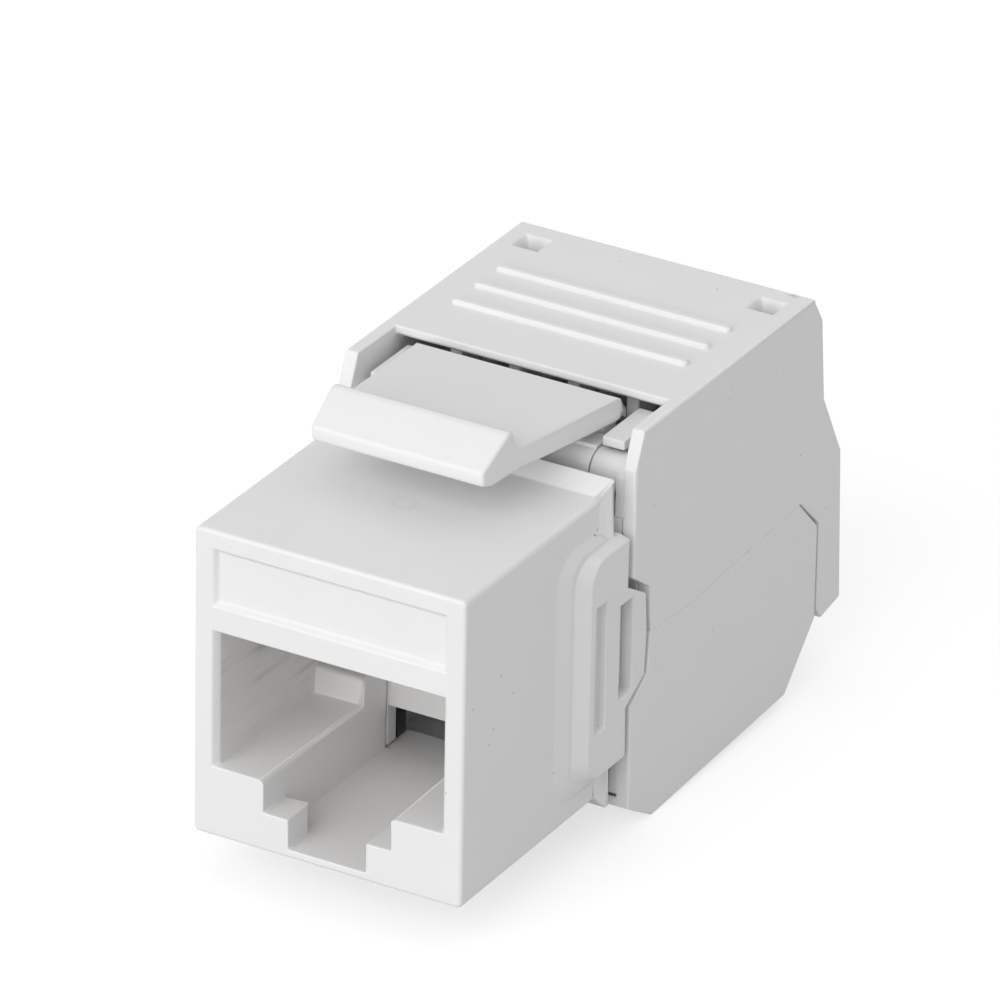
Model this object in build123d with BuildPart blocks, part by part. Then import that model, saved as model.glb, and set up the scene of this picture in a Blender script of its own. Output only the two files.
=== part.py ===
from build123d import *
import os

# Keystone jack with a modular eight-way port, a latch arm on top and two hinged wire covers behind.
# Lengths in millimetres. X runs to the right seen from the front, Y runs back from the front face,
# Z runs up from the underside of the front block. The pieces behind the collar are drawn with Y from
# the collar's rear face, and are moved back to it at the end.

# Clearances
part_gap = 0.1
running_gap = 0.06
press_gap = 0.05
cut_over = 1.0
weld = 0.1

# Front block
block_width = 14.5
block_height = 16.0
block_edge = 0.3
face_edge = 0.2

# Collar behind the block, a short ramp up to a slightly larger rim
collar_depth = 0.95
collar_rim = 0.2
collar_side = 0.3
collar_top = 0.7
collar_bottom = 0.6
collar_edge = 0.12

# Bare label panel, sunk into the face with sloped walls
label_width = 12.5
label_height = 2.95
label_below_top = 0.95
label_depth = 0.3
label_draft = 30

# Port with its lead-in
port_width = 12.04
port_floor = 3.7
port_height = 7.1
port_depth = 10.9
port_narrowing = 0.12
lead_in = 0.25
lead_in_depth = 0.4
port_round = 0.25

# Channel for the plug's tab, the ledges at its mouth and the blocks at the rear corners of the port
tab_width = 6.9
tab_narrowing = 0.2
tab_floor = 0.45
ledge_height = 2.0
ledge_depth = 2.0
ledge_opening = 4.2
stop_length = 2.15
stop_height = 1.4
stop_round = 0.25

# Chamber over the port and pocket at the rear of the front housing
chamber_width = 10.2
chamber_front = 1.6
chamber_roof = 1.6
pocket_width = 13.0
pocket_wall = 0.8

# Ears: a ramped pad, a sloped plate and a rounded tongue with a slot and a window
ear_drop = 0.25
pad_front = 8.35
pad_half_height = 6.65
pad_round = 1.7
pad_ramp = 0.95
ear_thickness = 0.55
ear_front = 9.5
ear_half_height = 5.95
ear_round = 1.5
ear_slope = 0.75
ear_slope_ends = 0.2
ear_edge = 0.15
ear_overhang = 0.5
tongue_thickness = 1.0
lobe_length = 1.9
lobe_slope = 1.75
lobe_half_height = 3.2
lobe_end_half_height = 2.15
slot_from_ear = 1.25
slot_length = 1.0
slot_half_height = 3.35
slot_depth = 0.5
window_length = 1.25
window_half_height = 2.5
window_from_collar = 1.05

# Fixed catch under the block
catch_half_width = 4.8
catch_front = 6.2
catch_slope = 1.2
catch_crest = 0.8
catch_height = 1.3

# Contact springs: stamped strips at the pitch of the plug
contact_count = 8
contact_pitch = 1.016
spring_width = 0.45
spring_thickness = 0.25
spring_height = 12.2
spring_front = 1.1
spring_tip = (9.2, 9.0)
spring_bend = 0.5

# Contact carrier
carrier_front = 4.2
comb_tooth = 0.42
comb_inset = 0.2
comb_length = 4.0
comb_low = 11.1
carrier_wall = 0.8
bar_low = 2.76

# Circuit board
board_thickness = 0.8
board_margin = 0.15
foot_reach = 0.5

# Rear housing that holds the wire contacts
housing_length = 5.7
housing_low = 2.2
housing_below_top = 1.4
tower_length = 7.5
tower_low = 1.4
nose_length = 2.5
nose_half_height = 0.9
core_half_height = 2.3
wire_slot = 1.1
wire_slot_depth = 3.3
tower_pitch = 3.2
barb_reach = 0.6
barb_root = 0.5
barb_gap = 0.1
barb_half_height = 2.3

# Shoulders over the hinge, and the saddle between them that holds the arm's root
shoulder_inner = 5.7
shoulder_front = 1.95
shoulder_rear = 5.6
shoulder_rise = 1.62
shoulder_lip = 0.48
shoulder_round = 0.3
post_front = 3.3
saddle_front = 2.0
saddle_rise = 1.0

# Wire contacts: forked blades on legs that reach the board
blade_width = 2.2
blade_thickness = 0.4
blade_from_housing = 3.0
blade_reach = 3.6
blade_slot = 0.36
blade_slot_depth = 2.2
blade_mouth = 0.55
blade_mouth_depth = 0.75
leg_width = 0.8
leg_offset = 2.6

# Covers: two shells that stand out from the collar as far as the ears do
cover_wall = 0.7
cover_plate = 0.9
cover_edge = 0.15
cover_rise = 2.6
cover_gap = 0.06
housing_side_gap = 0.52
wall_gap = 0.97
mouth_run = 0.74
mouth_drop = 1.84
toe_run = 1.63
toe_drop = 1.17
toe_above_ear = 2.32
seam_run = 0.2
seam_below_ear = 0.08
seam_dip = (6.55, 7.46)
seam_rear = (17.29, 8.04)
plate_from_hinge = 3.0
plate_lip = 0.4
plate_lip_run = 0.8
top_rear = 18.08
crown = (18.98, 17.18)
waist = (19.4, 12.78)
tail_outer = (21.27, 9.24)
tail_end = (21.64, 1.13)
tail_inner = 19.3
tail_root_z = 6.13
tail_hook = (19.74, 0.77)
tail_hook_rise = 0.63
tail_gap = 0.18
lower_toe_run = 1.54
lower_toe_low = 3.28
lower_toe_high = 2.27
keel_front = (3.31, -2.43)
keel_rear = (16.28, -1.89)
keel_corner_z = -1.06
lower_tail_z = 1.05
keel_lip = 0.5
keel_run = 0.6
inner_bevel = 0.8
cable_radius = 4.2
cable_height = 7.6

# Fins inside the covers that press the wires into their slots
presser_width = 0.7
presser_depth = 1.6
presser_gap = 0.75
presser_front = 0.6
presser_rear = 1.0

# Hinges of the covers
hinge_from_collar = 2.15
hinge_drop = 0.1
knuckle_radius = 1.0
knuckle_length = 1.95
bar_radius = 0.95
bar_gap = 0.07
web_thickness = 1.0
trunnion_radius = 0.5

# Grip ribs and pockets on the upper cover
rib_count = 3
rib_length = 12.8
rib_width = 0.5
rib_height = 0.25
rib_edge = 0.12
rib_middle = 10.85
rib_pitch = 2.09
dimple_size = 1.45
dimple_depth = 0.95
dimple_draft = 24
dimple_wall = 0.8
dimple_x = 6.45
dimple_y = 16.35

# Latch arm
arm_tip = -7.3
arm_tip_rise = 3.3
arm_lip = 0.75
arm_nose = 0.1
arm_chin = 0.9
ridge_front = -5.2
ridge_rear = -4.8
ridge_rise = 4.5
arm_start = -4.45
arm_start_rise = 3.5
arm_end = 3.95
arm_end_rise = 2.69
arm_thickness = 1.2
arm_round = 0.3
arm_heel_run = 0.9
arm_heel_rise = 1.5
arm_front_half = 4.63
ridge_half = 4.8
arm_rear_half = 5.5
arm_corner = 0.4
root_y = 4.1
root_rise = 0.3
root_radius = 0.65
root_half = 4.9
pin_radius = 0.45
pin_half = 6.1

half_block = block_width / 2
wall_front = port_depth + part_gap
wall_rear = wall_front + carrier_wall
board_front = wall_rear + part_gap
board_rear = board_front + board_thickness
collar_rear = board_rear + foot_reach
block_depth = collar_rear - collar_depth
collar_half = half_block + collar_side
ear_centre = block_height / 2 - ear_drop
ear_outer = collar_half + ear_thickness
ear_rear = collar_rear + ear_overhang
lobe_rear = ear_rear + lobe_length
tongue_inner = ear_outer - tongue_thickness
half_cover = ear_outer
cover_inner = half_cover - cover_wall
half_housing = cover_inner - housing_side_gap
cover_top = block_height + cover_rise
port_ceiling = port_floor + port_height
half_tab = tab_width / 2
half_port = port_width / 2
chamber_top = block_height - chamber_roof
pocket_high = block_height - pocket_wall
rear_half_tab = half_tab - tab_narrowing
housing_front = part_gap
housing_rear = housing_front + housing_length
housing_high = block_height - housing_below_top
tower_rear = housing_rear + tower_length
nose_rear = tower_rear + nose_length
blade_y = housing_rear + blade_from_housing
block_middle = (housing_low + housing_high) / 2
window_rear = collar_rear + window_from_collar
window_front = window_rear - window_length
hinge_y = hinge_from_collar
upper_hinge_z = block_height - hinge_drop
lower_hinge_z = -hinge_drop
knuckle_inner = cover_inner - knuckle_length
shell_front = wall_gap
plate_front = hinge_y + plate_from_hinge
plate_under = cover_top - cover_plate
root_z = block_height + root_rise
arm_heel = arm_end + arm_heel_run
arm_under = block_height + arm_end_rise - arm_thickness
contact_columns = [(i - (contact_count - 1) / 2) * contact_pitch for i in range(contact_count)]
tower_columns = [(i - 1.5) * tower_pitch for i in range(4)]


def across(y):
    """Sketch plane that faces the front, at depth y; its axes are X and Z."""
    return Plane.XZ.offset(-y)


def along(x):
    """Sketch plane seen from the right, at x; its axes are Y and Z."""
    return Plane.YZ.offset(x)


def rod(y, z, radius, x_from, x_to, mode=Mode.ADD):
    """Round bar along X."""
    with BuildSketch(along(x_from)) as section:
        with Locations((y, z)):
            Circle(radius)
    extrude(section.sketch, amount=x_to - x_from, mode=mode)


def side_profile(points, half_width, mode=Mode.ADD):
    """Outline of Y and Z points, drawn out to both sides of the middle plane."""
    with BuildSketch(Plane.YZ) as profile:
        with BuildLine():
            Polyline(*points, close=True)
        make_face()
    extrude(profile.sketch, amount=half_width, both=True, mode=mode)


def cut_from_front(x, z, y, mode=Mode.SUBTRACT):
    """Rectangle in X and Z, extruded between two depths; x may hold several middles."""
    width, *middles = x
    with BuildSketch(across(y[0])) as opening:
        with Locations(*[(middle, (z[0] + z[1]) / 2) for middle in middles]):
            Rectangle(width, z[1] - z[0])
    extrude(opening.sketch, amount=-(y[1] - y[0]), mode=mode)


# Front housing: one moulding with the port, the label panel, the collar, the ears and the fixed catch
with BuildPart() as front_housing:
    collar_width = 2 * collar_half
    collar_height = block_height + collar_top + collar_bottom
    collar_middle = (block_height + collar_top - collar_bottom) / 2
    with BuildSketch(across(0)):
        with Locations((0, block_height / 2)):
            RectangleRounded(block_width, block_height, block_edge)
    extrude(amount=-block_depth)
    fillet(front_housing.faces().sort_by(Axis.Y)[0].edges(), face_edge)
    with BuildSketch(across(block_depth)):
        with Locations((0, block_height / 2)):
            RectangleRounded(block_width, block_height, block_edge)
    with BuildSketch(across(collar_rear - collar_rim)):
        with Locations((0, collar_middle)):
            RectangleRounded(collar_width, collar_height, collar_edge)
    loft()
    with BuildSketch(across(collar_rear - collar_rim)):
        with Locations((0, collar_middle)):
            RectangleRounded(collar_width, collar_height, collar_edge)
    extrude(amount=-collar_rim)

    # Ramped pad round the ear, then the ear plate with sloped sides
    pad_length = collar_rear - pad_front
    with BuildSketch(along(half_block)):
        with Locations((pad_front + pad_length / 2, ear_centre)):
            RectangleRounded(pad_length, 2 * pad_half_height, pad_round)
    with BuildSketch(along(collar_half)):
        with Locations((pad_front + (pad_length + pad_ramp) / 2, ear_centre)):
            RectangleRounded(
                pad_length - pad_ramp,
                2 * pad_half_height - pad_ramp,
                pad_round - pad_ramp / 2,
            )
    loft()
    ear_length = lobe_rear - ear_front
    with BuildSketch(along(collar_half)):
        with Locations((ear_front + ear_length / 2, ear_centre)):
            RectangleRounded(ear_length, 2 * ear_half_height, ear_round)
    with BuildSketch(along(ear_outer)):
        with Locations((ear_front + (ear_length + ear_slope) / 2, ear_centre)):
            RectangleRounded(
                ear_length - ear_slope,
                2 * (ear_half_height - ear_slope_ends),
                ear_round - ear_slope_ends,
            )
    loft()
    with BuildSketch(along(half_block)):
        with Locations((lobe_rear, ear_centre)):
            Rectangle(2 * (lobe_rear - ear_rear), block_height)
    extrude(amount=cut_over + ear_thickness, mode=Mode.SUBTRACT)
    ear_face = front_housing.faces().sort_by(Axis.X)[-1]
    fillet(ear_face.edges().filter_by(Axis.Y, reverse=True).sort_by(Axis.Y)[:3], ear_edge)

    # Tongue that carries the ear back beyond the collar and ends in the catch lobe
    with BuildSketch(along(tongue_inner)):
        with Locations(((block_depth + ear_rear) / 2, ear_centre)):
            Rectangle(ear_rear - block_depth, 2 * ear_half_height)
    extrude(amount=collar_half - tongue_inner)
    with BuildSketch(along(tongue_inner)):
        with BuildLine():
            Polyline(
                (block_depth, ear_centre - lobe_half_height),
                (ear_rear, ear_centre - lobe_half_height),
                (ear_rear + lobe_slope, ear_centre - lobe_end_half_height),
                (lobe_rear, ear_centre),
                (ear_rear + lobe_slope, ear_centre + lobe_end_half_height),
                (ear_rear, ear_centre + lobe_half_height),
                (block_depth, ear_centre + lobe_half_height),
                close=True,
            )
        make_face()
    extrude(amount=ear_outer - tongue_inner)
    with BuildSketch(along(ear_outer)):
        with Locations((ear_front + slot_from_ear + slot_length / 2, ear_centre)):
            Rectangle(slot_length, 2 * slot_half_height)
    extrude(amount=-slot_depth, mode=Mode.SUBTRACT)
    with BuildSketch(along(ear_outer)):
        with Locations((window_front + window_length / 2, ear_centre)):
            Rectangle(window_length, 2 * window_half_height)
    extrude(amount=-(ear_outer - half_housing), mode=Mode.SUBTRACT)
    mirror(about=Plane.YZ)

    # Fixed catch
    catch_top = catch_front + catch_slope
    side_profile(
        (
            (catch_front, block_edge),
            (catch_front, 0),
            (catch_top, -catch_height),
            (catch_top + catch_crest, -catch_height),
            (catch_top + catch_crest, block_edge),
        ),
        catch_half_width,
    )

    # Label panel
    with BuildSketch(across(0)):
        with Locations((0, block_height - label_below_top - label_height / 2)):
            Rectangle(label_width, label_height)
    extrude(amount=-label_depth, taper=label_draft, mode=Mode.SUBTRACT)

    # Port that narrows a little towards the back, with a lead-in at its sides
    port_middle = (port_floor + port_ceiling) / 2
    with BuildSketch(across(0)):
        with Locations((0, port_middle)):
            Rectangle(port_width, port_height)
    with BuildSketch(across(port_depth)):
        with Locations((0, port_middle)):
            Rectangle(port_width - 2 * port_narrowing, port_height)
    loft(mode=Mode.SUBTRACT)
    with BuildSketch(across(0)):
        with Locations((0, port_middle)):
            Rectangle(port_width + 2 * lead_in, port_height)
    lead_in_end = port_width - 2 * port_narrowing * lead_in_depth / port_depth
    with BuildSketch(across(lead_in_depth)):
        with Locations((0, port_middle)):
            Rectangle(lead_in_end, port_height)
    loft(mode=Mode.SUBTRACT)

    # Stop blocks for the plug at the rear corners of the port
    stop_width = half_port - rear_half_tab + weld
    stop_middle = half_port - stop_width / 2
    stop_top = port_floor + stop_height
    stop_front = port_depth - stop_length
    stops = (stop_width, -stop_middle, stop_middle)
    cut_from_front(stops, (port_floor, stop_top), (stop_front, port_depth), Mode.ADD)

    # Channel for the tab, which narrows in the same way, and the ledges at its mouth
    with BuildSketch(across(0)):
        with Locations((0, (tab_floor + stop_top) / 2)):
            Rectangle(tab_width, stop_top - tab_floor)
    with BuildSketch(across(port_depth)):
        with Locations((0, (tab_floor + stop_top) / 2)):
            Rectangle(2 * rear_half_tab, stop_top - tab_floor)
    loft(mode=Mode.SUBTRACT)
    ledge_width = (tab_width - ledge_opening) / 2 + weld
    ledge_middle = (ledge_opening + ledge_width) / 2
    ledges = (ledge_width, -ledge_middle, ledge_middle)
    cut_from_front(ledges, (tab_floor - weld, ledge_height), (0, ledge_depth), Mode.ADD)
    for side in (-1, 1):
        stop_edge = Vector(side * rear_half_tab, port_depth - stop_length / 2, stop_top)
        stop_lip = Vector(side * stop_middle, stop_front, stop_top)
        shoulder_edge = Vector(side * half_tab, stop_front / 2, port_floor)
        ledge_corner = Vector(side * ledge_opening / 2, ledge_depth, (tab_floor + ledge_height) / 2)
        fillet(front_housing.edges().sort_by_distance(stop_edge)[0], stop_round)
        fillet(front_housing.edges().sort_by_distance(stop_lip)[0], stop_round)
        fillet(front_housing.edges().sort_by_distance(shoulder_edge)[0], port_round)
        fillet(front_housing.edges().sort_by_distance(ledge_corner)[0], port_round)

    # Chamber for the contact carrier, and the pocket that takes the board
    with BuildSketch(across(chamber_front)):
        with Locations((0, (port_middle + chamber_top) / 2)):
            Rectangle(chamber_width, chamber_top - port_middle)
    extrude(amount=-(port_depth - chamber_front), mode=Mode.SUBTRACT)
    with BuildSketch(across(port_depth)):
        with Locations((0, (tab_floor + pocket_high) / 2)):
            Rectangle(pocket_width, pocket_high - tab_floor)
    extrude(amount=-(collar_rear - port_depth), mode=Mode.SUBTRACT)
front_housing.part.label = "front_housing"

# Contact carrier: a comb over the port that keeps the springs apart, with the wall behind the port
with BuildPart() as contact_carrier:
    half_carrier = chamber_width / 2 - part_gap
    comb_front = carrier_front + comb_inset
    spring_top = spring_height + spring_thickness / 2 + running_gap
    roof = chamber_top - part_gap
    pocket_low = tab_floor + board_margin
    cut_from_front((2 * half_carrier, 0), (spring_top, roof), (carrier_front, wall_front), Mode.ADD)
    teeth = [(i - contact_count / 2) * contact_pitch for i in range(contact_count + 1)]
    cut_from_front((comb_tooth, *teeth), (comb_low, roof), (comb_front, comb_front + comb_length), Mode.ADD)
    wall_width = pocket_width - 2 * board_margin
    wall_high = pocket_high - board_margin
    cut_from_front((wall_width, 0), (pocket_low, wall_high), (wall_front, wall_rear), Mode.ADD)
    cut_from_front((2 * rear_half_tab, 0), (pocket_low, bar_low), (wall_front, wall_rear))
    slot_width = spring_width + 2 * running_gap
    spring_slot = (spring_height - spring_thickness / 2 - running_gap, spring_top)
    cut_from_front((slot_width, *contact_columns), spring_slot, (wall_front, wall_rear))
contact_carrier.part.label = "contact_carrier"

# Contact springs: plated strips, bent back on themselves at the front, with their feet in the board
contact_springs = []
for x in contact_columns:
    with BuildPart() as contact_spring:
        with BuildLine(along(x)) as route:
            FilletPolyline(
                (collar_rear, spring_height),
                (spring_front, spring_height),
                spring_tip,
                radius=spring_bend,
            )
        with BuildSketch(Plane(route.line @ 0, x_dir=(1, 0, 0), z_dir=route.line % 0)):
            Rectangle(spring_width, spring_thickness)
        sweep()
    contact_springs.append(contact_spring)
for i, contact_spring in enumerate(contact_springs):
    contact_spring.part.label = f"contact_spring_{i + 1}"

# Circuit board, upright between the springs and the wire contacts
with BuildPart() as circuit_board:
    board_low = tab_floor + board_margin
    board_high = pocket_high - board_margin
    with BuildSketch(across(board_front)):
        with Locations((0, (board_low + board_high) / 2)):
            Rectangle(pocket_width - 2 * board_margin, board_high - board_low)
        with Locations((0, (board_low + bar_low) / 2)):
            Rectangle(2 * rear_half_tab, bar_low - board_low, mode=Mode.SUBTRACT)
        with Locations(*[(x, spring_height) for x in contact_columns]):
            Rectangle(slot_width, spring_thickness + 2 * running_gap, mode=Mode.SUBTRACT)
        leg_places = [(x, block_middle + row * leg_offset) for x in tower_columns for row in (-1, 1)]
        with Locations(*leg_places):
            Rectangle(leg_width + 2 * press_gap, blade_thickness + 2 * press_gap, mode=Mode.SUBTRACT)
    extrude(amount=-board_thickness)
circuit_board.part.label = "circuit_board"

# Rear housing: the block that snaps into the ears, carries both hinges and holds the wire contacts
with BuildPart() as rear_housing:
    side_profile(
        (
            (housing_front, housing_low),
            (housing_rear, housing_low),
            (housing_rear, tower_low),
            (tower_rear, tower_low),
            (tower_rear, block_middle - core_half_height),
            (nose_rear, block_middle - nose_half_height),
            (nose_rear, block_middle + nose_half_height),
            (tower_rear, block_middle + core_half_height),
            (tower_rear, housing_high),
            (housing_front, housing_high),
        ),
        half_housing,
    )

    # Wire slots, open upwards in the upper row and downwards in the lower row
    slots = (wire_slot, *tower_columns)
    slot_run = (housing_rear, tower_rear + cut_over)
    cut_from_front(slots, (housing_high - wire_slot_depth, housing_high + cut_over), slot_run)
    cut_from_front(slots, (tower_low - cut_over, tower_low + wire_slot_depth), slot_run)

    # Pockets for the blades and their legs
    half_blade = blade_thickness / 2 + press_gap
    blades = (blade_width + 2 * press_gap, *tower_columns)
    legs = (leg_width + 2 * press_gap, *tower_columns)
    blade_run = (blade_y - half_blade, blade_y + half_blade)
    leg_run = (housing_front, blade_y + half_blade)
    upper_leg = block_middle + leg_offset
    lower_leg = block_middle - leg_offset
    cut_from_front(blades, (upper_leg - half_blade, housing_high + cut_over), blade_run)
    cut_from_front(blades, (tower_low - cut_over, lower_leg + half_blade), blade_run)
    cut_from_front(legs, (upper_leg - half_blade, upper_leg + half_blade), leg_run)
    cut_from_front(legs, (lower_leg - half_blade, lower_leg + half_blade), leg_run)

    # Shoulders that rise beside the arm and reach forward over the hinge
    shoulder_high = block_height + shoulder_rise
    for side in (-1, 1):
        with BuildSketch(along(side * shoulder_inner)):
            with BuildLine():
                Polyline(
                    (post_front, block_middle),
                    (post_front, shoulder_high - shoulder_lip),
                    (shoulder_front, shoulder_high - shoulder_lip),
                    (shoulder_front, shoulder_high),
                    (shoulder_rear, shoulder_high),
                    (shoulder_rear, block_middle),
                    close=True,
                )
            make_face()
        extrude(amount=side * (half_housing - shoulder_inner))
    rear_edges = rear_housing.edges().filter_by(Axis.X).group_by(Axis.Z)[-1].sort_by(Axis.Y)[-2:]
    fillet(rear_edges, shoulder_round)

    # Saddle that the arm's root rolls in, and the hinge bars with their trunnions
    bar_half = knuckle_inner - bar_gap
    saddle_rear = root_y - root_radius - 2 * part_gap
    side_profile(
        (
            (post_front, housing_high - weld),
            (post_front, upper_hinge_z),
            (saddle_front, upper_hinge_z),
            (saddle_front, block_height + saddle_rise),
            (saddle_rear, block_height + saddle_rise),
            (saddle_rear, root_z),
            (shoulder_rear, root_z),
            (shoulder_rear, housing_high - weld),
        ),
        bar_half,
    )
    side_profile(
        (
            (post_front, housing_high - weld),
            (post_front, root_z),
            (shoulder_rear, root_z),
            (shoulder_rear, housing_high - weld),
        ),
        shoulder_inner,
    )
    trunnion_half = half_housing - part_gap
    half_web = web_thickness / 2
    for hinge_z, web_z in ((upper_hinge_z, housing_high), (lower_hinge_z, housing_low)):
        rod(hinge_y, hinge_z, bar_radius, -bar_half, bar_half)
        rod(hinge_y, hinge_z, trunnion_radius, -trunnion_half, trunnion_half)
        side_profile(
            (
                (hinge_y - half_web, hinge_z),
                (hinge_y - half_web, web_z),
                (hinge_y + half_web, web_z),
                (hinge_y + half_web, hinge_z),
            ),
            bar_half,
        )
    pin_bore = pin_radius + running_gap
    socket = root_radius + running_gap
    rod(root_y, root_z, socket, -shoulder_inner, shoulder_inner, mode=Mode.SUBTRACT)
    rod(root_y, root_z, pin_bore, -pin_half - running_gap, pin_half + running_gap, mode=Mode.SUBTRACT)

    # Barbs that snap into the windows of the ears
    barb_rear = window_from_collar - barb_gap
    barb_tip = ear_outer - barb_reach
    with BuildSketch(Plane.XY.offset(ear_centre - barb_half_height)):
        for side in (-1, 1):
            with BuildLine():
                Polyline(
                    (side * (half_housing - barb_root), housing_front),
                    (side * half_housing, housing_front),
                    (side * barb_tip, barb_rear),
                    (side * (half_housing - barb_root), barb_rear),
                    close=True,
                )
            make_face()
    extrude(amount=2 * barb_half_height)
rear_housing.part.label = "rear_housing"

# Wire contacts: stamped blades with a fork that cuts into the wire, four up and four down
wire_contacts = []
leg_front = board_front + part_gap - collar_rear
for row in (1, -1):
    for x in tower_columns:
        leg_z = block_middle + row * leg_offset
        tip_z = leg_z + row * blade_reach
        with BuildPart() as wire_contact:
            with BuildSketch(across(leg_front)):
                with Locations((x, leg_z)):
                    Rectangle(leg_width, blade_thickness)
            extrude(amount=-(blade_y - leg_front))
            with BuildSketch(across(blade_y - blade_thickness / 2)):
                with Locations((x, (leg_z + tip_z) / 2)):
                    Rectangle(blade_width, abs(tip_z - leg_z))
                with Locations((x, tip_z - row * blade_slot_depth / 2)):
                    Rectangle(blade_slot, blade_slot_depth, mode=Mode.SUBTRACT)
                with BuildLine():
                    Polyline(
                        (x - blade_mouth, tip_z),
                        (x, tip_z - row * blade_mouth_depth),
                        (x + blade_mouth, tip_z),
                        close=True,
                    )
                make_face(mode=Mode.SUBTRACT)
            extrude(amount=-blade_thickness)
        wire_contacts.append(wire_contact)
for i, wire_contact in enumerate(wire_contacts):
    wire_contact.part.label = f"wire_contact_{i + 1}"

# Upper cover: a hinged shell with an open front for the arm and a tail that laps over the lower cover
toe_z = ear_centre + toe_above_ear
seam_front = (shell_front + toe_run + seam_run, ear_centre - seam_below_ear)
with BuildPart() as upper_cover:
    side_profile(
        (
            (shell_front + mouth_run, cover_top),
            (shell_front, cover_top - mouth_drop),
            (shell_front, toe_z + toe_drop),
            (shell_front + toe_run, toe_z),
            seam_front,
            seam_dip,
            seam_rear,
            (tail_inner, tail_root_z),
            (tail_inner, tail_hook[1] + tail_hook_rise),
            tail_hook,
            tail_end,
            tail_outer,
            waist,
            crown,
            (top_rear, cover_top),
        ),
        half_cover,
    )
    fillet(upper_cover.faces().sort_by(Axis.Z)[-1].edges().filter_by(Axis.Y), cover_edge)
    front_faces = upper_cover.faces().filter_by(Plane.XZ).sort_by(Axis.Y)
    fillet(front_faces[0].edges().filter_by(Axis.Z), cover_edge)
    side_profile(
        (
            (shell_front - cut_over, tail_hook[1] - cut_over),
            (shell_front - cut_over, cover_top + cut_over),
            (plate_front, cover_top + cut_over),
            (plate_front, cover_top - plate_lip),
            (plate_front + plate_lip_run, plate_under),
            (top_rear - inner_bevel, plate_under),
            (top_rear, plate_under - inner_bevel),
            (waist[0] - cover_plate, waist[1]),
            (tail_inner, waist[1] - 2 * inner_bevel),
            (tail_inner, tail_hook[1] - cut_over),
        ),
        cover_inner,
        mode=Mode.SUBTRACT,
    )

    # Cable passage through the tail
    with BuildSketch(across(nose_rear)):
        with Locations((0, cable_height)):
            Circle(cable_radius)
        with Locations((0, (cable_height - cut_over) / 2)):
            Rectangle(2 * cable_radius, cable_height + cut_over)
    extrude(amount=-(tail_end[0] + cut_over - nose_rear), mode=Mode.SUBTRACT)

    # Knuckles on the inside of the walls
    for side in (-1, 1):
        rod(hinge_y, upper_hinge_z, knuckle_radius, side * knuckle_inner, side * (cover_inner + weld))
        bore_end = half_housing + press_gap
        bore = trunnion_radius + running_gap
        rod(hinge_y, upper_hinge_z, bore, side * knuckle_inner, side * bore_end, mode=Mode.SUBTRACT)

    # Fins that press the wires into the upper slots, in front of and behind the blades
    fins = (presser_width, *tower_columns)
    fin_height = (housing_high - presser_depth, plate_under + weld)
    cut_from_front(fins, fin_height, (housing_rear + presser_front, blade_y - presser_gap), Mode.ADD)
    cut_from_front(fins, fin_height, (blade_y + presser_gap, tower_rear - presser_rear), Mode.ADD)

    # Grip ribs
    with BuildSketch(Plane.XY.offset(cover_top - weld)):
        with Locations((0, rib_middle)):
            with GridLocations(0, rib_pitch, 1, rib_count):
                SlotOverall(rib_length, rib_width)
    extrude(amount=rib_height + weld)
    rib_tops = upper_cover.faces().filter_by(Axis.Z).group_by(Axis.Z)[-1]
    chamfer(rib_tops.edges(), rib_edge)

    # Square pockets near the rear corners, in bosses under the plate
    boss_inner = dimple_x - dimple_size
    boss_width = cover_inner + weld - boss_inner
    with BuildSketch(Plane.XY.offset(plate_under + weld)):
        with Locations(*[(side * (boss_inner + boss_width / 2), dimple_y) for side in (-1, 1)]):
            Rectangle(boss_width, 2 * dimple_size)
    extrude(amount=-(dimple_depth + dimple_wall + weld - cover_plate))
    with BuildSketch(Plane.XY.offset(cover_top)):
        with Locations((-dimple_x, dimple_y), (dimple_x, dimple_y)):
            Rectangle(dimple_size, dimple_size)
    extrude(amount=-dimple_depth, taper=dimple_draft, mode=Mode.SUBTRACT)
upper_cover.part.label = "upper_cover"

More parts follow.
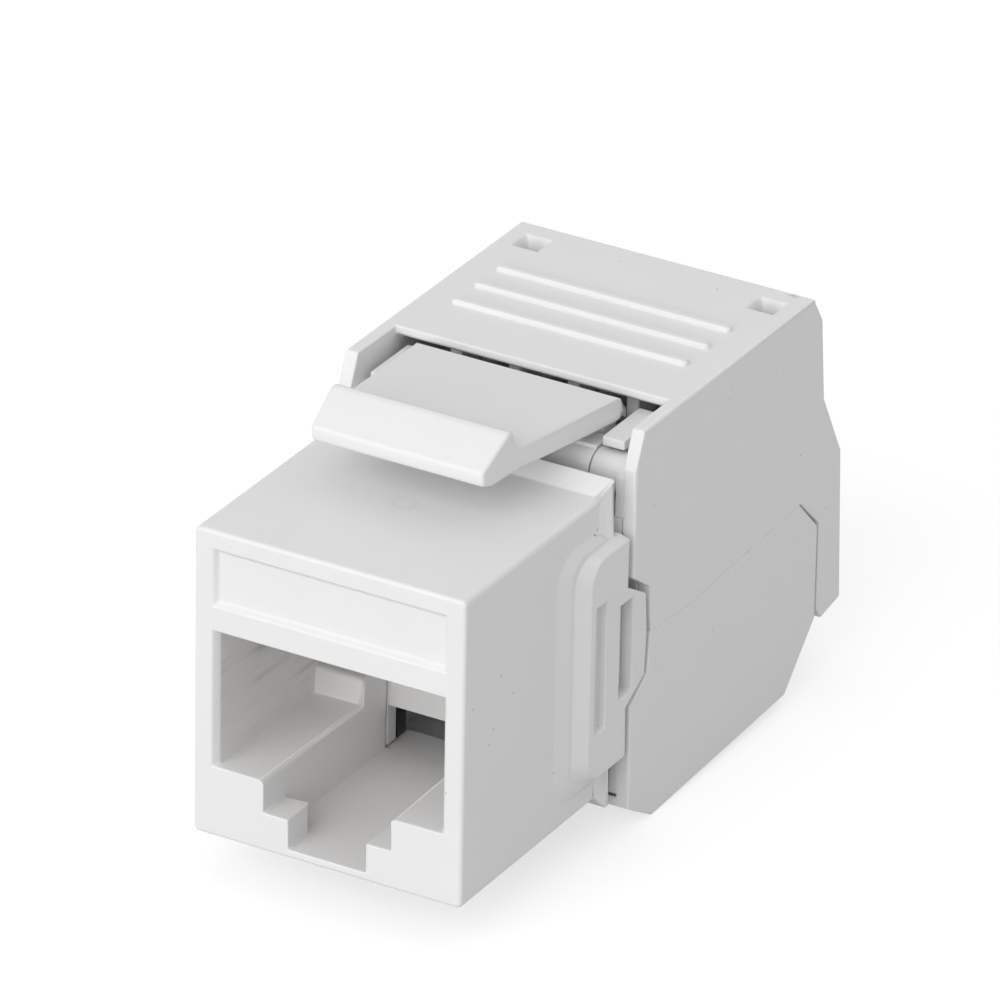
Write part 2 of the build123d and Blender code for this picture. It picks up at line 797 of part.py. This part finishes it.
# Lower cover: the matching shell under the jack, closed by the tail of the upper cover
with BuildPart() as lower_cover:
    lower_tail = tail_inner - tail_gap
    side_profile(
        (
            (shell_front, keel_corner_z),
            (shell_front, ear_centre - lower_toe_low),
            (shell_front + lower_toe_run, ear_centre - lower_toe_high),
            (seam_front[0] - cover_gap, seam_front[1] - cover_gap),
            (seam_dip[0], seam_dip[1] - cover_gap),
            (seam_rear[0] - cover_gap, seam_rear[1] - cover_gap),
            (lower_tail, tail_root_z - cover_gap),
            (lower_tail, lower_tail_z),
            keel_rear,
            keel_front,
        ),
        half_cover,
    )
    front_faces = lower_cover.faces().filter_by(Plane.XZ).sort_by(Axis.Y)
    fillet(front_faces[0].edges().filter_by(Axis.Z), cover_edge)
    inner_tail = tail_inner - cover_plate - part_gap
    side_profile(
        (
            (shell_front - cut_over, cable_height + cut_over),
            (shell_front - cut_over, keel_corner_z + keel_lip),
            (shell_front, keel_corner_z + keel_lip),
            (keel_front[0] - keel_run, keel_front[1] + cover_plate),
            (keel_rear[0], keel_rear[1] + cover_plate),
            (inner_tail, lower_tail_z + inner_bevel / 2),
            (inner_tail, cable_height + cut_over),
        ),
        cover_inner,
        mode=Mode.SUBTRACT,
    )
    with BuildSketch(across(nose_rear)):
        with Locations((0, cable_height)):
            Circle(cable_radius)
    extrude(amount=-(tail_inner - nose_rear), mode=Mode.SUBTRACT)
    for side in (-1, 1):
        rod(hinge_y, lower_hinge_z, knuckle_radius, side * knuckle_inner, side * (cover_inner + weld))
        bore_end = half_housing + press_gap
        bore = trunnion_radius + running_gap
        rod(hinge_y, lower_hinge_z, bore, side * knuckle_inner, side * bore_end, mode=Mode.SUBTRACT)
    fin_height = (keel_front[1] + cover_plate - weld, tower_low + presser_depth)
    cut_from_front(fins, fin_height, (housing_rear + presser_front, blade_y - presser_gap), Mode.ADD)
    cut_from_front(fins, fin_height, (blade_y + presser_gap, tower_rear - presser_rear), Mode.ADD)
lower_cover.part.label = "lower_cover"

# Latch arm: a springy tongue with a ridge and a thumb lip in front, held by the pins at its root
with BuildPart() as latch_arm:
    tip_z = block_height + arm_tip_rise
    start_z = block_height + arm_start_rise
    end_z = block_height + arm_end_rise
    ridge_z = block_height + ridge_rise
    heel_z = block_height + arm_heel_rise
    with BuildSketch(Plane.YZ):
        with BuildLine():
            FilletPolyline((arm_start, start_z), (arm_end, end_z), (arm_heel, heel_z), radius=arm_round)
            Polyline(
                (arm_heel, heel_z),
                (root_y + root_radius, root_z),
                (root_y - root_radius, root_z),
                (root_y - root_radius, arm_under),
                (arm_start, start_z - arm_thickness),
                (arm_tip + arm_chin, start_z - arm_thickness),
                (arm_tip + arm_nose, tip_z - arm_lip),
                (arm_tip, tip_z),
                (ridge_front, ridge_z),
                (ridge_rear, ridge_z),
                (arm_start, start_z),
            )
        make_face()
    extrude(amount=arm_rear_half, both=True)
    with BuildSketch(Plane.XY.offset(root_z - cut_over)):
        with BuildLine():
            Polyline(
                (-arm_front_half, arm_tip - cut_over),
                (arm_front_half, arm_tip - cut_over),
                (arm_front_half, arm_tip),
                (ridge_half, ridge_rear),
                (arm_rear_half, arm_end),
                (arm_rear_half - arm_corner, arm_heel + cut_over),
                (-arm_rear_half + arm_corner, arm_heel + cut_over),
                (-arm_rear_half, arm_end),
                (-ridge_half, ridge_rear),
                (-arm_front_half, arm_tip),
                close=True,
            )
        make_face()
    extrude(amount=ridge_z - root_z + 2 * cut_over, mode=Mode.INTERSECT)
    side_cut = arm_rear_half - root_half + cut_over
    middles = [side * (root_half + side_cut / 2) for side in (-1, 1)]
    cut_run = (root_y - root_radius - weld, arm_heel + cut_over)
    cut_from_front((side_cut, *middles), (root_z - cut_over, arm_under), cut_run)
    rod(root_y, root_z, root_radius, -root_half, root_half)
    rod(root_y, root_z, pin_radius, -pin_half, pin_half)
latch_arm.part.label = "latch_arm"

os.makedirs("parts", exist_ok=True)
front_pieces = [front_housing, contact_carrier, *contact_springs, circuit_board]
rear_pieces = [rear_housing, *wire_contacts, upper_cover, lower_cover, latch_arm]
for piece in front_pieces:
    export_step(piece.part, f"parts/{piece.part.label}.step")
for piece in rear_pieces:
    label = piece.part.label
    placed = piece.part.moved(Location((0, collar_rear, 0)))
    placed.label = label
    export_step(placed, f"parts/{label}.step")
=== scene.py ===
from math import radians

import bmesh
import bpy
from mathutils import Matrix, Vector


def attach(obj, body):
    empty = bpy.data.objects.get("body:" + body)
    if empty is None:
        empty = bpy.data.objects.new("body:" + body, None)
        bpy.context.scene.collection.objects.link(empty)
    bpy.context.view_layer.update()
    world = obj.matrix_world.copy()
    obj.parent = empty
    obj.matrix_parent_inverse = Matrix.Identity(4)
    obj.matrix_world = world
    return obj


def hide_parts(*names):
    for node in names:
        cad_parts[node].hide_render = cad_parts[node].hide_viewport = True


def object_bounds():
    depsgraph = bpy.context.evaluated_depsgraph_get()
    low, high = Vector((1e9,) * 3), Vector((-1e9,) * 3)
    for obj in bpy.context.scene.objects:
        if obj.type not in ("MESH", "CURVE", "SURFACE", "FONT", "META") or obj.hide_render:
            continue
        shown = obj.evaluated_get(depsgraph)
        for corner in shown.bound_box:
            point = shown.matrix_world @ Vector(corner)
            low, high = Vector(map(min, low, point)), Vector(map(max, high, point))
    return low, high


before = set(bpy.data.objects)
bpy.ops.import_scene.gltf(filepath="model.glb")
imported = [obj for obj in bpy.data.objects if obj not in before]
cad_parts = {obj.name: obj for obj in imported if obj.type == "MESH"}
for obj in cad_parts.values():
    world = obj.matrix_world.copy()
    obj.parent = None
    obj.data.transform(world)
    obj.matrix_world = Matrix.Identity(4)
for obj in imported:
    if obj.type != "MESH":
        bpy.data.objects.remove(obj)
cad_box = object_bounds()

# Camera: a long lens, a little above the port and to its right, as for a shop picture.
# Angles are in degrees, the lens and its sensor in millimetres, and all other lengths in metres.
lens_azimuth = 29.74
lens_elevation = 27.12
lens_roll = 1.05
lens_length = 392.9
sensor_width = 36
lens_distance = 0.5066
frame_shift = (0.00807, 0.01717)
turn = Matrix.Rotation(radians(lens_azimuth), 3, "Z")
turn @= Matrix.Rotation(radians(90 - lens_elevation), 3, "X")
turn @= Matrix.Rotation(radians(lens_roll), 3, "Z")
stand = turn @ Vector((*frame_shift, lens_distance))
bpy.ops.object.camera_add(location=stand, rotation=turn.to_euler())
camera = bpy.context.object
camera.name = "camera"
camera.data.sensor_width = sensor_width
camera.data.lens = lens_length
camera.data.clip_start = 0.05
camera.data.clip_end = 10
bpy.context.scene.camera = camera
bpy.context.scene.view_settings.view_transform = "Standard"


# Front housing: the one-piece moulding with the port, the ears and the fixed catch, shot in a satin
# white plastic. The mould rounds its edges a little and leaves an ejector ring; the port's side
# walls get painted shade in streaks.
class Signal:
    """A value inside a finish, written as sums, products and comparisons."""

    def __init__(self, finish, socket):
        self.finish = finish
        self.socket = socket

    def __add__(self, other):
        return self.finish.math("ADD", self, other)

    def __radd__(self, other):
        return self.finish.math("ADD", other, self)

    def __sub__(self, other):
        return self.finish.math("SUBTRACT", self, other)

    def __rsub__(self, other):
        return self.finish.math("SUBTRACT", other, self)

    def __mul__(self, other):
        return self.finish.math("MULTIPLY", self, other)

    def __rmul__(self, other):
        return self.finish.math("MULTIPLY", other, self)

    def __lt__(self, other):
        return self.finish.math("LESS_THAN", self, other)

    def __gt__(self, other):
        return self.finish.math("GREATER_THAN", self, other)

    def between(self, low, high):
        return (self > low) * (self < high)


class Finish:
    """A surface finish: the nodes before the shader of a material or of the studio's sky."""

    def __init__(self, owner, **constants):
        owner.use_nodes = True
        self.owner = owner
        self.tree = owner.node_tree
        self.end = next(node for node in self.tree.nodes if node.type.startswith("OUTPUT"))
        self.shader = self.end.inputs["Surface"].links[0].from_node
        for socket, value in constants.items():
            self.shader.inputs[socket.replace("_", " ")].default_value = value

    def node(self, kind, settings, inputs, output=0):
        """Adds a node, with its settings first and then the values or links of its sockets."""
        node = self.tree.nodes.new("ShaderNode" + kind)
        for name, value in settings.items():
            setattr(node, name, value)
        for socket, value in inputs.items():
            if isinstance(value, Signal):
                self.tree.links.new(value.socket, node.inputs[socket])
            else:
                node.inputs[socket].default_value = value
        return Signal(self, node.outputs[output])

    def math(self, operation, *values):
        return self.node("Math", {"operation": operation}, dict(enumerate(values)))

    def larger(self, one, other):
        return self.math("MAXIMUM", one, other)

    def mix(self, share, low, high):
        """Colour between low and high."""
        return self.node("Mix", {"data_type": "RGBA"}, {0: share, 6: low, 7: high}, 2)

    def spot(self):
        return self.node("TexCoord", {}, {}, "Object")

    def along(self, axis):
        """Place on one axis of the jack: X across, Y from the port to the rear, Z up."""
        return self.node("SeparateXYZ", {}, {0: self.spot()}, axis)

    def place(self, stretch=(1, 1, 1)):
        return self.node("Mapping", {}, {"Vector": self.spot(), "Scale": stretch})

    def grain(self, scale, detail=2.0, stretch=(1, 1, 1)):
        """Soft noise from 0 to 1, scale in waves a metre."""
        waves = {"Vector": self.place(stretch), "Scale": scale, "Detail": detail}
        return self.node("TexNoise", {}, waves)

    def near(self, centre, radius):
        """1 at the centre, 0 from the radius on."""
        ends = {0: self.spot(), 1: centre}
        away = self.node("VectorMath", {"operation": "DISTANCE"}, ends, "Value")
        return self.larger(1 - away * (1 / radius), 0.0)

    def feed(self, **links):
        for socket, signal in links.items():
            self.tree.links.new(signal.socket, self.shader.inputs[socket.replace("_", " ")])
        return self


def moulded_plastic(name, tone, gloss, marks_and_shade=None):
    """Satin plastic straight from the mould: a faint mottle, spark texture and a few caught specks.
    The last argument adds what the mould or use left, and painted shade, to the share of dark and
    to the surface's height."""
    mottle_scale, spark_scale, speck_scale = 240, 9000, 1100.0
    speck_radius, empty_cells = 0.075, 0.955
    speck_colour = (0.12, 0.11, 0.10, 1)
    palest, dullest = 1.015, 0.975
    spark_height, spark_strength = 0.00001, 0.12

    finish = Finish(bpy.data.materials.new(name))
    mottle = finish.grain(mottle_scale)
    cells = {"Vector": finish.place(), "Scale": speck_scale}
    from_middle = finish.node("TexVoronoi", {}, cells, "Distance")
    cell_colour = finish.node("TexVoronoi", {}, cells, "Color")
    lottery = finish.node("SeparateColor", {}, {0: cell_colour}, 0)
    dark = (from_middle < speck_radius) * (lottery > empty_cells) * (0.1 + mottle * 0.5)
    relief = finish.grain(spark_scale, 1.0)
    if marks_and_shade:
        dark, relief = marks_and_shade(finish, dark, relief)
    pale = (*[channel * palest for channel in tone], 1)
    dull = (*[channel * dullest for channel in tone], 1)
    colour = finish.mix(dark, finish.mix(mottle, dull, pale), speck_colour)
    sparks = {"Height": relief, "Strength": spark_strength, "Distance": spark_height}
    bump = finish.node("Bump", {}, sparks)
    return finish.feed(Base_Color=colour, Roughness=gloss + mottle * 0.08, Normal=bump)


def add_block(low, high):
    """Adds a block between two corners, as an object or, in edit mode, to the piece's mesh. It
    brings no UV map, which would be empty on the rest of the piece."""
    low, high = Vector(low), Vector(high)
    middle, span = (low + high) / 2, high - low
    bpy.ops.mesh.primitive_cube_add(size=1, location=middle, scale=span, calc_uvs=False)


def hollow_out(piece, low, high):
    """Cuts a pocket between two corners into the piece."""
    bpy.ops.object.mode_set(mode="OBJECT")
    add_block(low, high)
    cutter = bpy.context.object
    cut = piece.modifiers.new("pocket", "BOOLEAN")
    cut.object = cutter
    bpy.context.view_layer.objects.active = piece
    bpy.ops.object.modifier_apply(modifier="pocket")
    bpy.data.objects.remove(cutter)
    piece.select_set(True)
    bpy.ops.object.mode_set(mode="EDIT")


def number_surfaces(piece):
    """Gives the triangles of each CAD surface one number, while they still hang together by it
    alone, and returns the last number."""
    shape = bmesh.from_edit_mesh(piece.data)
    patch = shape.faces.layers.int.new("patch")
    last = 0
    for start in shape.faces:
        if start[patch]:
            continue
        last += 1
        start[patch] = last
        waiting = [start]
        while waiting:
            for corner in waiting.pop().verts:
                for face in corner.link_faces:
                    if not face[patch]:
                        face[patch] = last
                        waiting.append(face)
    bmesh.update_edit_mesh(piece.data)
    return last


def mark_creases(piece, patches, edge, seam):
    """Picks the creases that get a round of this width. A crease inside one surface, beside a
    surface too slim for the round, or too short for it stays as it is."""
    least_fold, sharp_fold = radians(11), radians(50)
    slim_width, short_length = 1.6 * edge, 0.6 * edge
    seam_share = 0.35

    shape = bmesh.from_edit_mesh(piece.data)
    patch = shape.faces.layers.int["patch"]
    weight = shape.edges.layers.float.new("bevel_weight_edge")
    area = [0.0] * (patches + 1)
    reach = [0.0] * (patches + 1)
    for face in shape.faces:
        area[face[patch]] += face.calc_area()
        reach[face[patch]] = max(reach[face[patch]], *[rim.calc_length() for rim in face.edges])
    for crease in shape.edges:
        crease.smooth = True
        fold = crease.calc_face_angle(0)
        if fold < least_fold:
            continue
        sides = {face[patch] for face in crease.link_faces}
        slim = min(area[side] / reach[side] for side in sides) < slim_width
        if len(sides) == 1 or slim or crease.calc_length() < short_length:
            crease.smooth = fold < sharp_fold
        else:
            middle = (crease.verts[0].co + crease.verts[1].co) / 2
            crease[weight] = seam_share if seam and seam(middle) else 1.0
    bmesh.update_edit_mesh(piece.data)


def eased_moulding(
    node, name, body, finish, edge, seam=None, closing=0.0, flanges=(), pocket=None, room=None
):
    """The moulding from a CAD node, with the small round that a mould leaves on every crease.
    seam tells whether a place is on a closed joint, which moves up by closing to meet it. flanges
    are low and high corners of flanges that the moulding has besides, and pocket those of a hollow
    in it. room gives the new place of a corner that makes way for a motion."""
    same_place, same_plane = 0.000002, radians(0.6)

    bpy.ops.object.select_all(action="DESELECT")
    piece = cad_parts[node].copy()
    piece.data = piece.data.copy()
    piece.name = name
    piece.parent = None
    bpy.context.scene.collection.objects.link(piece)
    bpy.context.view_layer.objects.active = piece
    piece.select_set(True)
    bpy.ops.object.mode_set(mode="EDIT")
    patches = number_surfaces(piece)
    bpy.ops.mesh.select_all(action="SELECT")
    bpy.ops.mesh.remove_doubles(threshold=same_place)
    if pocket:
        hollow_out(piece, *pocket)
        bpy.ops.mesh.select_all(action="SELECT")
    bpy.ops.mesh.dissolve_limited(angle_limit=same_plane)

    shape = bmesh.from_edit_mesh(piece.data)
    patch = shape.faces.layers.int["patch"]
    for face in shape.faces:
        if not face[patch]:
            patches += 1
            face[patch] = patches
    for corner in shape.verts:
        if seam and seam(corner.co):
            corner.co.z += closing
        if room:
            corner.co = room(corner.co)
    for low, high in flanges:
        bpy.ops.mesh.select_all(action="DESELECT")
        add_block(low, high)
        patches += 1
        shape = bmesh.from_edit_mesh(piece.data)
        patch = shape.faces.layers.int["patch"]
        for face in shape.faces:
            if not face[patch]:
                face[patch] = patches
    mark_creases(piece, patches, edge, seam)

    bpy.ops.object.mode_set(mode="OBJECT")
    bpy.ops.object.shade_smooth(keep_sharp_edges=True)
    round_off = piece.modifiers.new("edge", "BEVEL")
    round_off.width = edge
    round_off.segments = 2
    round_off.limit_method = "WEIGHT"
    round_off.use_clamp_overlap = False
    bpy.ops.object.modifier_apply(modifier="edge")
    flats = piece.modifiers.new("flats", "WEIGHTED_NORMAL")
    flats.keep_sharp = True
    bpy.ops.object.modifier_apply(modifier="flats")
    piece.data.materials.clear()
    piece.data.materials.append(finish.owner)
    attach(piece, body)
    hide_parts(node)


def housing_shade_and_ring(finish, dark, relief):
    """Painted shade on the port's side walls, broken into streaks and patches, and a faint ring
    from an ejector pin on the top.
    """
    wall_across, wall_depth, wall_height = (0.0056, 0.0063), (0.0004, 0.0092), (0.0036, 0.0108)
    line_scale, line_stretch, shade_patch_scale = 2600, (1, 0.08, 1), 420
    pin_centre, pin_radius, rim, top = (-0.0002, 0.0071, 0.016), 0.0008, (0.2, 0.42), 0.0159

    across = finish.math("ABSOLUTE", finish.along("X"))
    height = finish.along("Z")
    side_wall = across.between(*wall_across) * finish.along("Y").between(*wall_depth)
    lines = finish.larger(finish.grain(line_scale, 1.0, line_stretch) - 0.5, 0.0)
    shade_patches = finish.larger(finish.grain(shade_patch_scale, 1.0) - 0.4, 0.0)
    # painted shade: darkens the port's inner side walls in streaks along Y, in patches
    painted_port_shade = side_wall * height.between(*wall_height) * lines * shade_patches * 5.0
    ring = finish.near(pin_centre, pin_radius).between(*rim) * (height > top)
    return finish.larger(dark, finish.larger(painted_port_shade, ring * 0.05)), relief + ring * -4.0


def beside_cover(spot):
    """Draws the collar's rear top corners forward, clear of the upper cover's walls when open."""
    draw = 0.00009
    if abs(spot.x) > 0.0073 and 0.0131 < spot.y < 0.0133 and spot.z > 0.0164:
        return Vector((spot.x, spot.y - draw, spot.z))
    return spot


housing_tone, housing_gloss, housing_edge = (0.83, 0.83, 0.835), 0.40, 0.00009
housing_plastic = moulded_plastic("housing_plastic", housing_tone, housing_gloss, housing_shade_and_ring)
eased_moulding(
    "front_housing", "front_moulding", "jack", housing_plastic, housing_edge,
    room=beside_cover,
)

# Contact carrier: a smaller white moulding that slides in from behind. Its comb keeps the springs
# apart, and its sill shows at the back of the port.
carrier_tone, carrier_gloss, carrier_edge = (0.80, 0.80, 0.80), 0.45, 0.00004
carrier_plastic = moulded_plastic("carrier_plastic", carrier_tone, carrier_gloss)
eased_moulding(
    "contact_carrier", "contact_comb", "jack", carrier_plastic, carrier_edge
)

# Contact springs: eight strips stamped from phosphor bronze, bent back over the comb's front and
# plated with gold. Their feet go through the board and are soldered there.
gold = Finish(bpy.data.materials.new("gold_plating"), Metallic=1.0)
drawn = gold.grain(3000)
deep_gold, pale_gold = (0.80, 0.56, 0.20, 1), (0.90, 0.68, 0.32, 1)
gold.feed(Base_Color=gold.mix(drawn, deep_gold, pale_gold), Roughness=0.16 + drawn * 0.14)


def coat(node, finish):
    """Gives a CAD piece that keeps its shape this finish."""
    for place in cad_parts[node].material_slots:
        place.material = finish.owner


for number in range(1, 9):
    coat(f"contact_spring_{number}", gold)

# Circuit board: glass fibre under black solder mask. It stands upright behind the port, between
# the carrier and the rear housing, and joins the springs to the wire contacts.
mask = Finish(bpy.data.materials.new("solder_mask"), Coat_Weight=0.5, Coat_Roughness=0.15)
weave = mask.grain(1800)
deep_black, worn_black = (0.006, 0.006, 0.007, 1), (0.016, 0.016, 0.017, 1)
mask.feed(Base_Color=mask.mix(weave, deep_black, worn_black), Roughness=0.35 + weave * 0.15)
coat("circuit_board", mask)

# Wire contacts: bronze blades, tinned, and stamped with a fork that cuts into the wire. They stand
# in the towers of the rear housing, and their legs go into the board.
tin = Finish(bpy.data.materials.new("tinned_bronze"), Metallic=1.0)
stamped = tin.grain(2400)
dull_tin, bright_tin = (0.55, 0.54, 0.52, 1), (0.72, 0.71, 0.68, 1)
tin.feed(Base_Color=tin.mix(stamped, dull_tin, bright_tin), Roughness=0.28 + stamped * 0.16)
for number in range(1, 9):
    coat(f"wire_contact_{number}", tin)

# Rear housing: the white block that snaps into the ears, moulded with the hinge bars, the wire
# towers and low flanges on its sides. A notch in the lower bar is the dark place behind the port.
rear_tone, rear_gloss, rear_edge = (0.81, 0.81, 0.815), 0.44, 0.00006
rear_plastic = moulded_plastic("rear_plastic", rear_tone, rear_gloss)
behind_collar = (0.01417, 0.015)
behind_ear = (0.0157, 0.0175)
flange_reach = (0.0068, 0.00739)


def on_both_sides(across, along, height):
    """Low and high corners of a flange on each side, from its reach in X, Y and Z."""
    flanges = []
    for side in (-1, 1):
        near, far = sorted(side * place for place in across)
        flanges.append(((near, along[0], height[0]), (far, along[1], height[1])))
    return flanges


flanges = on_both_sides(flange_reach, behind_collar, (0.0115, 0.01418))
flanges += on_both_sides(flange_reach, behind_collar, (0.00162, 0.0044))
flanges += on_both_sides(flange_reach, behind_ear, (0.0086, 0.0112))
bar_notch = ((-0.0046, 0.0142, -0.00045), (0.0046, 0.0165, 0.00235))
eased_moulding(
    "rear_housing", "rear_moulding", "jack", rear_plastic, rear_edge,
    flanges=flanges, pocket=bar_notch,
)

# Latch arm: the springy tongue over the front housing, a white moulding with well rounded edges.
# Its ridge hooks into the panel, and its root sits in the saddle of the rear housing.
latch_tone, latch_gloss, latch_edge = (0.83, 0.83, 0.83), 0.42, 0.00018
latch_plastic = moulded_plastic("latch_plastic", latch_tone, latch_gloss)
eased_moulding("latch_arm", "latch_tongue", "latch", latch_plastic, latch_edge)

# Wire covers: two white shells, moulded thin and hinged on the rear housing's bars. They press the
# wires into the towers and close over the cable.
# Centres of the two square pockets on the top, which get painted shade fading out towards their
# rims.
pocket_places = ((-0.00645, 0.02955, 0.0180), (0.00645, 0.02955, 0.0180))
pocket_shade_radius = 0.00105
scuff_place = (0.00702, 0.0311, 0.0186)
scuff_radius = 0.0004


def cover_shade_and_scuff(finish, dark, relief):
    """Painted shade in the two square pockets, and a scuff beside the right one."""
    pocket_shade = finish.larger(*[finish.near(place, pocket_shade_radius) for place in pocket_places])
    scuff = finish.near(scuff_place, scuff_radius) * (finish.grain(3000) > 0.45)
    return finish.larger(dark, finish.larger(pocket_shade * 0.55, scuff * 0.4)), relief


def on_seam(spot):
    """The long joint between the shells, which closes without a visible groove."""
    return 0.0155 < spot.y < 0.0308 and 0.0071 < spot.z < 0.0083


cover_tone, cover_gloss, cover_edge = (0.83, 0.83, 0.84), 0.42, 0.00009
cover_plastic = moulded_plastic("cover_plastic", cover_tone, cover_gloss, cover_shade_and_scuff)
cover_wall = (0.00703, 0.00743)
half_gap = 0.000027
for half, lip_height, closing in (
    ("upper", (0.01421, 0.0162), -half_gap),
    ("lower", (-0.0004, 0.00159), half_gap),
):
    cover = f"{half}_cover"
    lips = on_both_sides(cover_wall, behind_collar, lip_height)
    eased_moulding(
        cover, f"{half}_shell", cover, cover_plastic, cover_edge,
        seam=on_seam, closing=closing, flanges=lips,
    )

# Floor: a plain sheet of pale paper under the jack, in a white room. It glows a little for the
# camera and in reflections, so that the background is white without more light on the jack.
floor_size, floor_gap, floor_glow = 6, 0.00002, 0.62
lowest = cad_box[0][2]
bpy.ops.object.select_all(action="DESELECT")
bpy.ops.mesh.primitive_plane_add(size=floor_size, location=(0, 0, lowest - floor_gap))
floor = bpy.context.object
floor.name = "floor"
paper = Finish(bpy.data.materials.new("paper"), Base_Color=(0.5, 0.5, 0.5, 1))
to_camera = paper.node("LightPath", {}, {}, "Is Camera Ray")
mirrored = paper.node("LightPath", {}, {}, "Is Glossy Ray")
strength = paper.larger(to_camera, mirrored) * floor_glow
glow = paper.node("Emission", {}, {"Color": (1, 1, 1, 1), "Strength": strength})
lit = paper.node("AddShader", {}, {0: Signal(paper, paper.shader.outputs[0]), 1: glow})
paper.feed(Roughness=0.85 + paper.grain(400) * 0.1)
paper.tree.links.new(lit.socket, paper.end.inputs["Surface"])
floor.data.materials.append(paper.owner)

bpy.context.scene.world = bpy.data.worlds.new("studio")
sky = Finish(bpy.context.scene.world, Color=(1, 1, 1, 1))
to_camera = sky.node("LightPath", {}, {}, "Is Camera Ray")
through = sky.node("LightPath", {}, {}, "Is Transmission Ray")
sky_light, white = 0.60, 1.0
sky.feed(Strength=sky_light + sky.larger(to_camera, through) * (white - sky_light))

# Lamps: two large round soft boxes. The one in front lights the port's face and the block's top,
# and the one overhead only lifts the covers a little.
lamp_size = 0.80
lamp_aim = Vector((0, 0.015, 0.008))
for name, place, watts in (
    ("front_lamp", (-0.05, -0.60, 0.28), 3.2),
    ("top_lamp", (0.15, 0.10, 0.62), 0.3),
):
    towards = (lamp_aim - Vector(place)).to_track_quat("-Z", "Y").to_euler()
    bpy.ops.object.light_add(type="AREA", location=place, rotation=towards)
    lamp = bpy.context.object
    lamp.name = name
    lamp.data.shape = "DISK"
    lamp.data.size = lamp_size
    lamp.data.energy = watts
